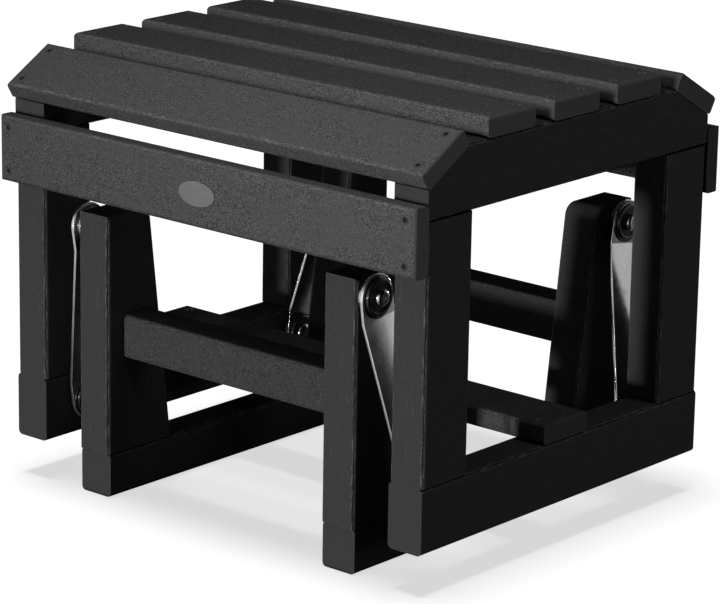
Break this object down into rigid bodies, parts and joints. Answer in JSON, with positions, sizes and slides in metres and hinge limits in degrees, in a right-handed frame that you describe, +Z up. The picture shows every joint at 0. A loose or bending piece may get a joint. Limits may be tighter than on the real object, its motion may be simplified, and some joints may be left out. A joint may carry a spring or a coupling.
{
  "type": "glider ottoman",
  "caption": "Slatted outdoor glider ottoman in dark plastic lumber, whose seat frame hangs on swinging steel arms from a fixed base.",
  "frame": {"origin": "on the floor, under the centre of the seat", "axes": "+Z up, front facing -Y, +X to the right seen from the front"},
  "size_m": [0.5084, 0.446, 0.4211],
  "materials": {
    "lumber_black": "black plastic lumber with a fine grain and rough rounded edges",
    "arm_steel": "brushed",
    "cup_black": "pressed, coated gloss black",
    "washer_steel": "turned",
    "bolt_steel": "satin",
    "bearing_seal": "black seal",
    "screw_black": "black coated",
    "plate_grey": "bare, satin grey"
  },
  "bodies": {
    "base": {"cross_rail_front": "lumber_black", "cross_rail_rear": "lumber_black", "cross_rail_studs": "bolt_steel", "post_front_left": "lumber_black", "post_front_right": "lumber_black", "post_rear_left": "lumber_black", "post_rear_right": "lumber_black", "runner_left": "lumber_black", "runner_right": "lumber_black", "runner_screws": "screw_black", "upper_pivot_bolts": "bolt_steel", "upper_pivot_spacers": "washer_steel"},
    "seat": {"apron_front": "lumber_black", "apron_rear": "lumber_black", "apron_screws": "screw_black", "end_board_left": "lumber_black", "end_board_right": "lumber_black", "end_board_screws": "screw_black", "foot_rail_left": "lumber_black", "foot_rail_right": "lumber_black", "foot_rail_screws": "screw_black", "leg_front_left": "lumber_black", "leg_front_right": "lumber_black", "leg_rear_left": "lumber_black", "leg_rear_right": "lumber_black", "lower_pivot_bolts_front": "bolt_steel", "lower_pivot_spacers_front": "washer_steel", "oval_plate": "plate_grey", "seat_slat_1": "lumber_black", "seat_slat_2": "lumber_black", "seat_slat_3": "lumber_black", "seat_slat_screws": "screw_black", "sloped_slat_front": "lumber_black", "sloped_slat_rear": "lumber_black", "sloped_slat_screws": "screw_black", "stretcher": "lumber_black", "stretcher_screws": "screw_black"},
    "arm_front_left": {"bearing_cups_front_left": "cup_black", "bearings_front_left": "bearing_seal", "swing_arm_front_left": "arm_steel"},
    "arm_front_right": {"bearing_cups_front_right": "cup_black", "bearings_front_right": "bearing_seal", "swing_arm_front_right": "arm_steel"},
    "arm_rear_left": {"bearing_cups_rear_left": "cup_black", "bearings_rear_left": "bearing_seal", "lower_pivot_bolt_rear_left": "bolt_steel", "lower_pivot_spacer_rear_left": "washer_steel", "swing_arm_rear_left": "arm_steel"},
    "arm_rear_right": {"bearing_cups_rear_right": "cup_black", "bearings_rear_right": "bearing_seal", "lower_pivot_bolt_rear_right": "bolt_steel", "lower_pivot_spacer_rear_right": "washer_steel", "swing_arm_rear_right": "arm_steel"}
  },
  "joints": [
    {"name": "swing_front_left", "type": "hinge", "parent": "base", "child": "arm_front_left", "pos_m": [-0.1785, -0.1819, 0.2575], "axis": [1, 0, 0], "range_deg": [-12, 12]},
    {"name": "seat_pivot", "type": "hinge", "parent": "arm_front_left", "child": "seat", "pos_m": [-0.2083, -0.1529, 0.0745], "axis": [1, 0, 0], "range_deg": [-14.5, 14.5]},
    {"name": "swing_front_right", "type": "hinge", "parent": "base", "child": "arm_front_right", "pos_m": [0.1785, -0.1819, 0.2575], "axis": [1, 0, 0], "range_deg": [-12.2, 12.2]},
    {"name": "swing_rear_left", "type": "hinge", "parent": "base", "child": "arm_rear_left", "pos_m": [-0.1785, 0.1819, 0.2575], "axis": [1, 0, 0], "range_deg": [-12.2, 12.2]},
    {"name": "swing_rear_right", "type": "hinge", "parent": "base", "child": "arm_rear_right", "pos_m": [0.1785, 0.1819, 0.2575], "axis": [1, 0, 0], "range_deg": [-12.2, 12.2]}
  ],
  "couplings": [
    {"joint": "seat_pivot", "follows": "swing_front_left", "ratio": -1.1897},
    {"joint": "swing_front_right", "follows": "swing_front_left", "ratio": 1},
    {"joint": "swing_rear_left", "follows": "swing_front_left", "ratio": 1},
    {"joint": "swing_rear_right", "follows": "swing_front_left", "ratio": 1}
  ]
}
